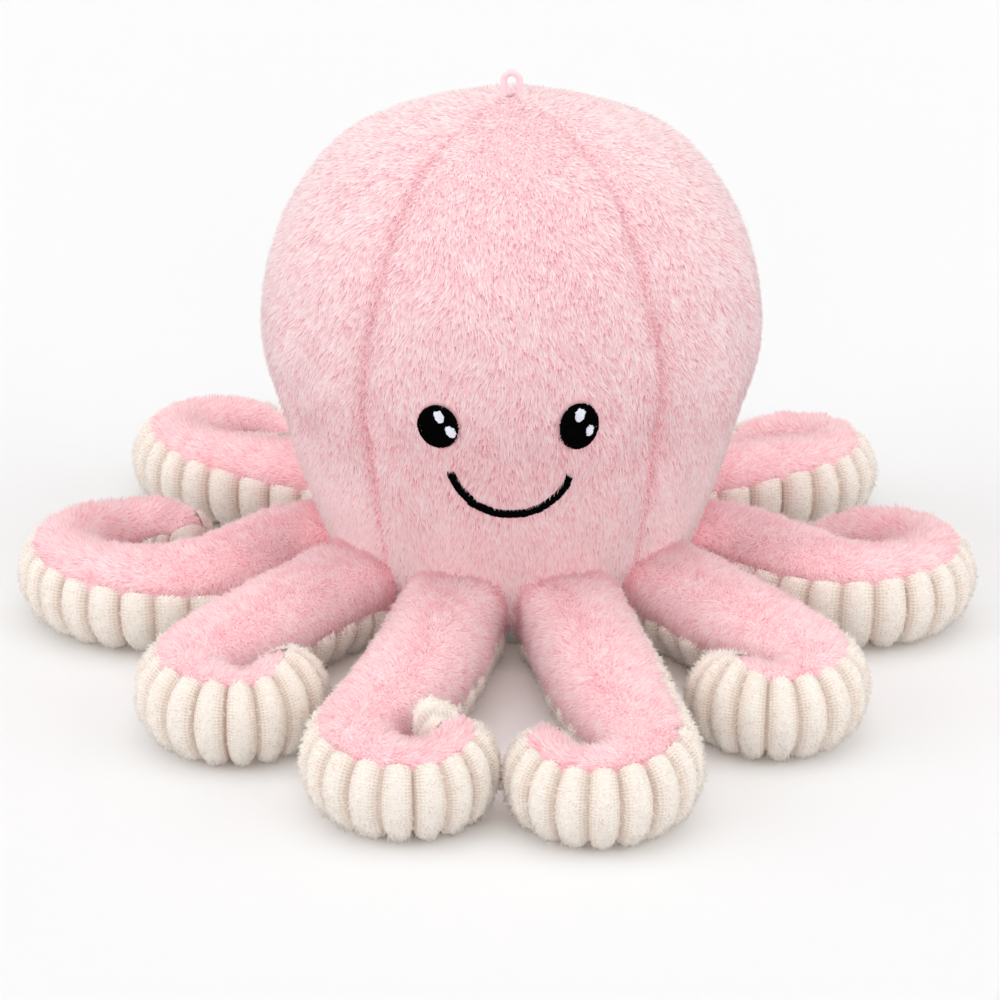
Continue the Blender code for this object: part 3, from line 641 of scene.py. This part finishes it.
class Course:
    # the middle line of an arm over the floor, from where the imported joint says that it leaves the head
    def __init__(self, joint, name):
        heading, sway, straight, start, end, turn = arms["courses"][name]
        self.bare = arms["bareTip"].get(name, 0)
        self.bulge = arms["tipKnob"].get(name, 0)
        self.innerDrop = arms["innerDrop"].get(name, (0, 0))
        self.pinkToe = arms["pinkToe"].get(name, 42)
        self.rise = arms["tipRise"].get(name, 0)
        self.seamLift = arms["seamLift"].get(name, (0, 0))
        x, y, self.crease = joint["pos_m"]
        self.side = 1 if turn > 0 else -1
        self.seamRadius = math.hypot(x, y)
        seat = math.atan2(x, -y)
        self.seat = seat
        leadIn = arms["leadIn"]
        curl = (math.radians(abs(turn)) - leadIn / 2 / start) * 2 / (1 / start + 1 / end)
        self.length = straight + leadIn + curl
        steps = math.ceil(self.length / arms["step"])
        step = self.length / steps
        run = (np.arange(steps) + 0.5) * step
        rootBend = arms["rootBend"]
        bend = np.where(run < rootBend, self.side * (math.radians(heading) - seat) / rootBend,
                        np.where(run < straight, -math.radians(sway) / (straight - rootBend),
                                 np.where(run < straight + leadIn, (run - straight) / leadIn / start,
                                          1 / start + (1 / end - 1 / start)
                                          * (run - straight - leadIn) / curl)))
        bearing = seat + np.append(0, np.cumsum(self.side * bend * step))
        xs = x + np.append(0, np.cumsum(np.sin(bearing[:-1]) * step))
        ys = y - np.append(0, np.cumsum(np.cos(bearing[:-1]) * step))
        back = 0.02  # the line also runs on straight under the head
        self.runs = np.append(-back, np.arange(steps + 1) * step)
        self.xs = np.append(x - math.sin(seat) * back, xs)
        self.ys = np.append(y + math.cos(seat) * back, ys)
        self.bearings = np.append(seat, bearing)
        self.bends = np.append(0, np.append(0, bend))

    def at(self, run):  # x, y, bearing and bend
        return [np.interp(run, self.runs, track) for track in (self.xs, self.ys, self.bearings, self.bends)]

    def halfWidth(self, run):
        return smoothTable(arms["section"], run / self.length, 1) * arms["halfWidth"]

    def halfHeight(self, run):
        return smoothTable(arms["section"], run / self.length, 2) * arms["halfHeight"]

    def outerRun(self, run):  # how far along the outside of the curl
        stretched = np.diff(self.runs) * (1 + np.maximum(self.bends[1:], 0) * arms["halfWidth"])
        total = np.append(0, np.cumsum(stretched)) + self.runs[0]
        return np.interp(run, self.runs, total)

    def knob(self, reach, turn):  # a rounded bulge of the tip, high on the inside of the curl
        knob = arms["knob"]
        return (self.bulge * np.exp(-((reach - self.length - knob["ahead"]) / knob["reach"]) ** 2)
                * np.exp(-((turn % 360 - knob["turn"]) / knob["spread"]) ** 2))

    def closed(self, run, toeAngle):  # 0 where the pink piece lies on top, 1 where the cream goes all round
        early = (run - self.length + self.bare) / 0.014 + 1 if self.bare else 0 * run
        return np.clip(np.maximum(toeAngle / self.pinkToe, early), 0, 1)

    def seams(self, run, toeAngle):  # degrees over the middle line, outside and inside of the curl
        share = np.clip(run / self.length, 0, 1)
        outer = smoothTable(arms["seam"], share, 1) + np.interp(share, (0, 1), self.seamLift)
        inner = smoothTable(arms["seam"], share, 2) - np.interp(share, (0.27, 0.93), self.innerDrop)
        if self.bulge:
            knob = arms["knob"]
            inner = inner + knob["seamDrop"] * np.exp(-((run - self.length) / knob["seamReach"]) ** 2)
        close = self.closed(run, toeAngle) ** 1.5
        return outer + (90 - outer) * close, inner + (90 - inner) * close

    def points(self, run, turn, proud, toeAngle=0.0):
        # turn is 0 on the curl's outer side and 90 on top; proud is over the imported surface
        toe = np.radians(toeAngle)
        width, height = self.halfWidth(run), self.halfHeight(run)
        angle = np.radians(turn)
        power = 1 - arms["rootSquare"] * np.clip(1 - run / arms["rootBend"], 0, 1)
        flat, tall = [np.sign(part) * np.abs(part) ** power for part in (np.cos(angle), np.sin(angle))]
        aside = self.halfWidth(0) * flat
        slide = self.seamRadius - np.sqrt(self.seamRadius ** 2 - aside ** 2)
        x, y, bearing = self.at(run - slide * np.clip(1 - run / arms["rootBend"], 0, 1))[:3]
        outward = -self.side * (width * np.cos(toe) + proud * np.cos(toe)) * flat
        ahead = (arms["toe"] + proud) * np.sin(toe)
        level = height + (height + proud) * np.cos(toe) * tall
        near = np.clip((run - self.length + 0.030) / 0.025, 0, 1)
        level = level * (1 + self.rise * near ** 2 * (3 - 2 * near) / (2 * height))
        return np.stack([x + np.cos(bearing) * outward + np.sin(bearing) * ahead,
                         y + np.sin(bearing) * outward - np.cos(bearing) * ahead, level], -1)

    def middles(self, run):
        x, y = self.at(run)[:2]
        return np.stack([x, y, self.halfHeight(run) + 0 * x], -1)


ribs = {
    "pitch": 0.0156, "depth": 0.0056, "fullness": 2.6, "proud": 0.0016, "step": 0.0007, "columns": 64,
    "roundReach": 12, "roundDepth": 0.0016, "toeRun": 0.020, "wale": 0.0016, "course": 0.0016,
    "floor": 0.0003,
}
armPile = {
    "count": 26000, "length": 0.0046, "width": 0.00080, "lean": 44, "leanSpread": 13, "sunk": 0.0002,
    "rounding": 0.35, "mapSpread": 0.012, "step": 0.0018, "columns": 33, "floor": 0.0001,
    "roundReach": 14, "roundDepth": 0.0014,  # how the cloth tucks in at the seams
    # the pile darkens near the seams: painted shade where the cloth tucks in
    "tone": 0.52, "toneSpread": 0.27, "edgeTone": 0.25,
    "parting": 0.30, "rootTone": 0.7, "rootReach": 0.006,  # painted shade along the middle line, where the pile parts, and at the root, where the arm meets the head
}
ribPile = {
    "count": 12000, "length": 0.0026, "width": 0.00062, "lean": 36, "leanSpread": 16, "sunk": 0.0002,
    "rounding": 0.4, "mapSpread": 0.012, "floor": 0.0001,
    # the fuzz darkens down in the grooves: painted shade
    "tone": 0.62, "toneSpread": 0.28, "grooveTone": 0.9,
}
armFilling = {"step": 0.004, "columns": 25}


def stretchAlong(course, step):
    # runs from under the head to the toe's tip, with the toe's angle for each
    runs = np.arange(-0.002, course.length, step)
    toes = np.linspace(0, 1, max(int(ribs["toeRun"] / step), 8))
    return (np.append(runs, np.full(len(toes), course.length)), np.append(np.zeros(len(runs)), toes * 89.5),
            np.append(runs, course.length + toes * ribs["toeRun"]))


def repeated(tracks, columns):
    return [np.repeat(track[:, None], columns, 1) for track in tracks]


def makeArm(name, number):
    course = Course(packedJoint(name + "_lift"), name)
    title = "arm" + str(number)

    # ribbed underside, which closes the toe
    run, toe, reach = stretchAlong(course, ribs["step"])
    outer, inner = course.seams(run, toe)
    shares = np.linspace(0, 1, ribs["columns"])[None, :]
    turn = outer[:, None] + (-180 - inner - outer)[:, None] * shares
    run, toe, reach = repeated((run, toe, reach), ribs["columns"])
    phase = (course.outerRun(run) + (reach - run)) / ribs["pitch"]
    off = np.abs((phase % 1) * 2 - 1)
    drop = 1 - np.sqrt(np.maximum(1 - (0.985 * off) ** ribs["fullness"], 0))
    if course.bulge:
        drop = drop * (1 - course.knob(reach, turn) / course.bulge)
    fromSeam = np.minimum(outer[:, None] - turn, turn + 180 + inner[:, None]) / ribs["roundReach"]
    drop = drop * (1 - np.clip(1.3 - fromSeam, 0, 1) * np.clip(course.closed(run, toe) * 1.6, 0, 1))
    stretch = 1 + course.at(run)[3] * course.halfWidth(run) * np.cos(np.radians(turn))
    rim = np.clip(1 - fromSeam, 0, 1) * (1 - course.closed(run, toe))
    proud = (ribs["proud"] - ribs["depth"] * drop * np.clip(stretch, 0.15, 1)
             - ribs["roundDepth"] * roundOff(rim))
    places = course.points(run, turn, proud + course.knob(reach, turn), toe)
    places[..., 2] = np.maximum(places[..., 2], ribs["floor"])
    under = Patch(places, course.middles(run))
    girth = np.radians(turn) * arms["halfWidth"]
    # the groove mask carries the painted shade down in the grooves
    underside = under.mesh(title + "Underside", creamKnit, {
        "groove": (np.clip(drop * 1.25 - 0.08, 0, 1) ** 1.8).ravel(),
        "flank": np.clip((off - 0.30) / 0.35, 0, 1).ravel(),
        "wale": (girth / ribs["wale"] * 2 * math.pi).ravel(),
        "knitCourse": (phase * ribs["pitch"] / ribs["course"] * 2 * math.pi).ravel()})
    draw = np.random.default_rng(300 + number)
    thick = np.clip(1.05 - 1.6 * drop, 0.02, 1) * np.clip(1.35 - off, 0.3, 1)
    spots = under.scatter(ribPile["count"], draw, thick)
    place, count = spots["place"], ribPile["count"]
    aside = spots["read"]((phase % 1) * 2 - 1)
    heading = spots["across"] * (0.5 + draw.normal(0, 0.5, count))[:, None]
    drift = 1.3 * np.sign(aside) * (1 - np.abs(aside)) + draw.normal(0, 0.35, count)
    heading = heading - spots["along"] * drift[:, None]
    length = ribPile["length"] * draw.uniform(0.6, 1.35, count)
    # painted shade down in the grooves
    tone = (ribPile["tone"] + 0.2 * ripples(place, 0.005, 21) + draw.normal(0, ribPile["toneSpread"], count)
            - ribPile["grooveTone"] * spots["read"](drop))
    fuzz = makePile(title + "UndersidePile", spots, heading, length, ribPile, tone, draw, creamPile,
                    ribPile["floor"])

    # pink upper piece
    run, toe, reach = stretchAlong(course, armPile["step"])
    some = course.closed(run, toe) < 0.97
    run, toe, reach = run[some], toe[some], reach[some]
    outer, inner = course.seams(run, toe)
    shares = np.linspace(0, 1, armPile["columns"])[None, :]
    turn = outer[:, None] + (180 - inner - outer)[:, None] * shares
    run, toe, reach = repeated((run, toe, reach), armPile["columns"])
    fromSeam = np.minimum(turn - outer[:, None], 180 - inner[:, None] - turn) / armPile["roundReach"]
    proud = -arms["skinDrop"] - armPile["roundDepth"] * roundOff(np.clip(1 - fromSeam, 0, 1))
    upper = Patch(course.points(run, turn, proud + course.knob(reach, turn), toe), course.middles(run))
    top = upper.mesh(title + "Top", pinkCloth)
    spots = upper.scatter(armPile["count"], draw)
    place, count = spots["place"], armPile["count"]
    across = spots["column"] * 2 - 1
    part = np.tanh(across * 2.5)
    drift = 0.75 * part + 0.55 * ripples(place, 0.022, 31) + 0.35 * ripples(place, 0.008, 32)
    heading = (spots["along"] * (0.75 + 0.4 * ripples(place, 0.018, 33))[:, None]
               + spots["across"] * (drift + draw.normal(0, 0.22, count))[:, None])
    length = armPile["length"] * (1 + 0.2 * ripples(place, 0.007, 34)) * draw.uniform(0.75, 1.25, count)
    bend = np.interp(spots["row"], np.linspace(0, 1, len(run)), course.at(run[:, 0])[3])
    curled = np.clip(bend / 30, 0, 1)
    length = length * (1 - 0.35 * curled * np.clip(across, 0, 1))
    # painted shade near the seams, along the parting and at the root
    tone = (armPile["tone"] + 0.14 * ripples(place, 0.008, 35) + 0.06 * ripples(place, 0.04, 36)
            + draw.normal(0, armPile["toneSpread"], count) - armPile["edgeTone"] * np.abs(across) ** 6)
    parting = np.exp(-((across - 0.15 * ripples(place, 0.05, 37)) / 0.10) ** 2)
    root = np.exp(-(spots["row"] * course.length / armPile["rootReach"]) ** 2)
    tone = tone - armPile["parting"] * parting * (1 - spots["row"]) - armPile["rootTone"] * root
    pile = makePile(title + "TopPile", spots, heading, length, armPile, tone, draw, armPinkPile,
                    armPile["floor"])

    # filling
    run, toe = repeated(stretchAlong(course, armFilling["step"])[:2], armFilling["columns"])
    turns = np.linspace(0, 360, armFilling["columns"])[None, :] + 0 * run
    core = Patch(course.points(run, turns, -arms["fillingDrop"], toe), course.middles(run))
    filling = core.mesh(title + "Filling", whiteFibre)

    for piece in (underside, fuzz, top, pile, filling):
        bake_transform(piece)
    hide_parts(name + "_underside")
    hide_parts(name + "_top")
    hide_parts(name + "_filling")


for armNumber, armName in enumerate(arms["courses"], 1):
    makeArm(armName, armNumber)
print("arms made")


# Embroidery: padded stitches that lie square to the front gore

def faceFrame(angle, level):
    def spot(angle, level):
        share = np.interp(level, outlineTable[:, 1], outlineTable[:, 0])
        for _ in range(6):  # closes in on the place at that level
            share = share + (level - smoothTable(outlineTable, share, 1)) / outlineRun[-1]
        return headPoint(share, np.array(angle / seamAngle(33, level)), -33, 33)
    sideways = unit(spot(angle + 0.5, level) - spot(angle - 0.5, level))
    upward = unit(spot(angle, level + 0.0005) - spot(angle, level - 0.0005))
    return spot(angle, level), unit(np.cross(sideways, upward)), sideways, upward


def turnedFrame(square, turn):  # turned clockwise by that many degrees, seen from the front
    place, outward, sideways, upward = square
    turn = math.radians(turn)
    return (place, outward, sideways * math.cos(turn) - upward * math.sin(turn),
            sideways * math.sin(turn) + upward * math.cos(turn))


def threadTubes(name, lines, widths, finish, sides=5):
    # half-round threads: lines[thread, point, 3] with an outward direction for each
    spine, outward = lines
    ahead = unit(np.gradient(spine, axis=1))
    beside = unit(np.cross(ahead, outward))
    outward = np.cross(beside, ahead)
    turns = np.linspace(0, math.pi, sides)
    rings = (spine[:, :, None] + beside[:, :, None] * (np.cos(turns)[:, None] * widths / 2)
             + outward[:, :, None] * (np.sin(turns)[:, None] * widths / 2))
    count, length = spine.shape[:2]
    faces = [gridFaces(length, sides) + thread * length * sides for thread in range(count)]
    mapped = np.stack(np.meshgrid(np.linspace(0, 1, sides), np.linspace(0, 1, length)), -1)
    mapped = np.broadcast_to(mapped[None], (count, length, sides, 2)).reshape(-1, 2)
    return makeMesh(name, rings.reshape(-1, 3), np.concatenate(faces), finish, mapped)


def satinOval(name, centre, size, lift, dome, pitch, ragged, tilt, seed, finish):
    # columns of satin stitches over a domed oval, each column split into a few stitches
    place, outward, sideways, upward = centre
    draw = np.random.default_rng(seed)
    halfWide, halfTall = size[0] / 2, size[1] / 2
    spines, normals = [], []
    for aside in np.arange(-halfWide + pitch / 2, halfWide, pitch):
        chord = halfTall * math.sqrt(max(1 - (aside / halfWide) ** 2, 0))
        cuts = [-chord - draw.uniform(-0.2, 1) * ragged]
        while cuts[-1] < chord - 0.0055:
            cuts.append(cuts[-1] + draw.uniform(0.0035, 0.0060))
        cuts = cuts[:-1] if len(cuts) > 1 else cuts
        cuts.append(chord + draw.uniform(-0.2, 1) * ragged)
        for low, high in zip(cuts, cuts[1:]):
            if high - low < 0.0004:
                continue
            along = np.linspace(low, high, 12)
            arch = 1 - np.abs(np.linspace(-1, 1, 12)) ** 6
            shift = aside + tilt * along + draw.normal(0, pitch * 0.10)
            fromEdge = 1 - (shift / halfWide) ** 2 * 0.9 - (along / halfTall) ** 2 * 0.9
            rise = dome * np.maximum(fromEdge, 0) ** 0.5
            height = lift + rise + (arch - 1) * (rise * 0.5 + 0.0006) + draw.uniform(-0.00006, 0.00006)
            spines.append(place + sideways * shift[:, None] + upward * along[:, None]
                          + outward * height[:, None])
            normals.append(np.broadcast_to(outward, (12, 3)))
    return threadTubes(name, (np.array(spines), np.array(normals)), pitch * 1.25, finish)


def ovalBed(name, centre, size, lift, dome, finish):
    # the padding under the stitches
    place, outward, sideways, upward = centre
    rings, turns = gridOf((0.01, 1, 12), (0, 2 * math.pi, 49))
    height = lift + dome * np.sqrt(np.maximum(1 - rings ** 2 * 0.98, 0)) - 0.0025 * rings ** 8
    points = (place + sideways * (rings * np.cos(turns) * size[0] / 2)[..., None]
              + upward * (rings * np.sin(turns) * size[1] / 2)[..., None] + outward * height[..., None])
    return Patch(points, place - outward * 0.05).mesh(name, finish)


eyeLook = {"lift": 0.0012, "dome": 0.0014, "pitch": 0.00042, "ragged": 0.0005, "tilt": 0.02,
           "turn": (6, -5)}
glintLook = {  # aside, up, width and height of each, and how its stitches are turned
    "left": {"high": (0.0013, 0.0058, 0.0036, 0.0055, 74), "low": (0.0057, -0.0007, 0.0034, 0.0052, 66)},
    "right": {"high": (-0.0004, 0.0063, 0.0035, 0.0060, 106), "low": (0.0042, -0.0012, 0.0026, 0.0049, 100)},
    "pitch": 0.00045, "ragged": 0.0006}

for eyeIndex, (eyeSide, eyeAngle, eyeLevel, eyeSize) in enumerate(face["eyes"]):
    eyeFrame = turnedFrame(faceFrame(eyeAngle, eyeLevel), eyeLook["turn"][eyeIndex])
    bed = ovalBed(eyeSide + "Eye", eyeFrame, (eyeSize[0] * 0.97, eyeSize[1] * 0.97),
                  eyeLook["lift"] - 0.0001, eyeLook["dome"], blackThread)
    stitches = satinOval(eyeSide + "EyeStitches", eyeFrame, eyeSize, eyeLook["lift"], eyeLook["dome"],
                         eyeLook["pitch"], eyeLook["ragged"], eyeLook["tilt"], 60 + eyeIndex, blackThread)
    for piece in (bed, stitches):
        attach(piece, "body")
    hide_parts(eyeSide + "_eye")
    for glintIndex, (glintName, (aside, up, wide, tall, turn)) in enumerate(glintLook[eyeSide].items()):
        place, outward, sideways, upward = faceFrame(eyeAngle, eyeLevel)
        glintFrame = turnedFrame((place + sideways * aside + upward * up, outward, sideways, upward), turn)
        glint = satinOval(eyeSide + "Eye" + glintName.capitalize() + "Glint", glintFrame, (tall, wide),
                          eyeLook["lift"] + eyeLook["dome"] + 0.0001, 0.0004, glintLook["pitch"],
                          glintLook["ragged"], 0.04, 70 + eyeIndex * 2 + glintIndex, whiteThread)
        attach(glint, "body")
        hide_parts(eyeSide + "_eye_" + glintName + "_glint")
print("eyes stitched")

smileLook = {"pitch": 0.00045, "lift": 0.0014, "dome": 0.0007, "slant": 0.45, "tuck": 0.0012,
             "bar": 7, "barDip": 0.0003, "jog": 0.00016}  # stitches lie in bars of seven, a little askew
smileDraw = np.random.default_rng(80)
smileCount = int(2 * smileReach * smileRadius / smileLook["pitch"])
smileSpines, smileNormals = [], []
smileJogs = smileDraw.normal(0, smileLook["jog"], smileCount // smileLook["bar"] + 1)
for stitch in range(smileCount):
    turn = smileReach * (2 * (stitch + 0.5) / smileCount - 1)
    barEdge = abs((stitch / smileLook["bar"] % 1) * 2 - 1) ** 8
    stroke = face["smileStroke"] * (1 - 0.22 * barEdge) * smileDraw.uniform(0.93, 1.10)
    reach = np.linspace(-1, 1, 9)
    spokes = turn + reach * stroke / 2 * smileLook["slant"] / smileRadius + math.radians(face["smileTilt"])
    radii = smileRadius - reach * stroke / 2 + smileJogs[stitch // smileLook["bar"]]
    levels, asides = smileCentre - radii * np.cos(spokes), face["smileAside"] + radii * np.sin(spokes)
    spine, outwards = [], []
    for level, aside, rim in zip(levels, asides, np.abs(reach)):
        radius = np.interp(level, outlineTable[:, 1], outlineTable[:, 2])
        place, outward = faceFrame(math.degrees(math.asin(aside / radius)), level)[:2]
        height = smileLook["lift"] - smileLook["barDip"] * barEdge
        height = height + smileLook["dome"] * math.sqrt(1 - rim ** 2) - smileLook["tuck"] * rim ** 8
        spine.append(place + outward * height)
        outwards.append(outward)
    smileSpines.append(spine)
    smileNormals.append(outwards)
smile = threadTubes("smile", (np.array(smileSpines), np.array(smileNormals)), smileLook["pitch"] * 1.5,
                    blackThread)
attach(smile, "body")
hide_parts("smile")
print("smile stitched")


# Hanging loop: a soft cord

loop = {"cord": 0.0030, "width": 0.0097, "height": 0.0112, "sunk": 0.0022, "sides": 20, "bendRows": 40,
        "legRows": 15}
loopPlace = packedJoint("loop_swing")["pos_m"]
loopReach = (loop["width"] - loop["cord"]) / 2
loopLeg = loop["height"] - loopReach - loop["cord"] / 2
loopBend = np.linspace(math.pi, 0, loop["bendRows"])
loopRise = np.linspace(-loop["sunk"], loopLeg, loop["legRows"] + 1)[:-1]
loopAside = np.full(loop["legRows"], loopReach)
loopLine = np.concatenate([
    np.stack([-loopAside, 0 * loopRise, loopRise], 1),
    np.stack([loopReach * np.cos(loopBend), 0 * loopBend, loopLeg + loopReach * np.sin(loopBend)], 1),
    np.stack([loopAside, 0 * loopRise, loopRise[::-1]], 1)]) + loopPlace
loopAhead = unit(np.gradient(loopLine, axis=0))
loopBeside = np.array([0, 1.0, 0]) + 0 * loopLine
loopOut = np.cross(loopAhead, loopBeside)
loopTurns = np.linspace(0, 2 * math.pi, loop["sides"] + 1)
loopPoints = (loopLine[:, None] + loopOut[:, None] * (np.cos(loopTurns) * loop["cord"] / 2)[:, None]
              + loopBeside[:, None] * (np.sin(loopTurns) * loop["cord"] / 2)[:, None])
loopCord = Patch(loopPoints, loopLine[:, None]).mesh("hangingLoop", pinkCord)
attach(loopCord, "hanging_loop")
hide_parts("hanging_loop")
print("loop made")
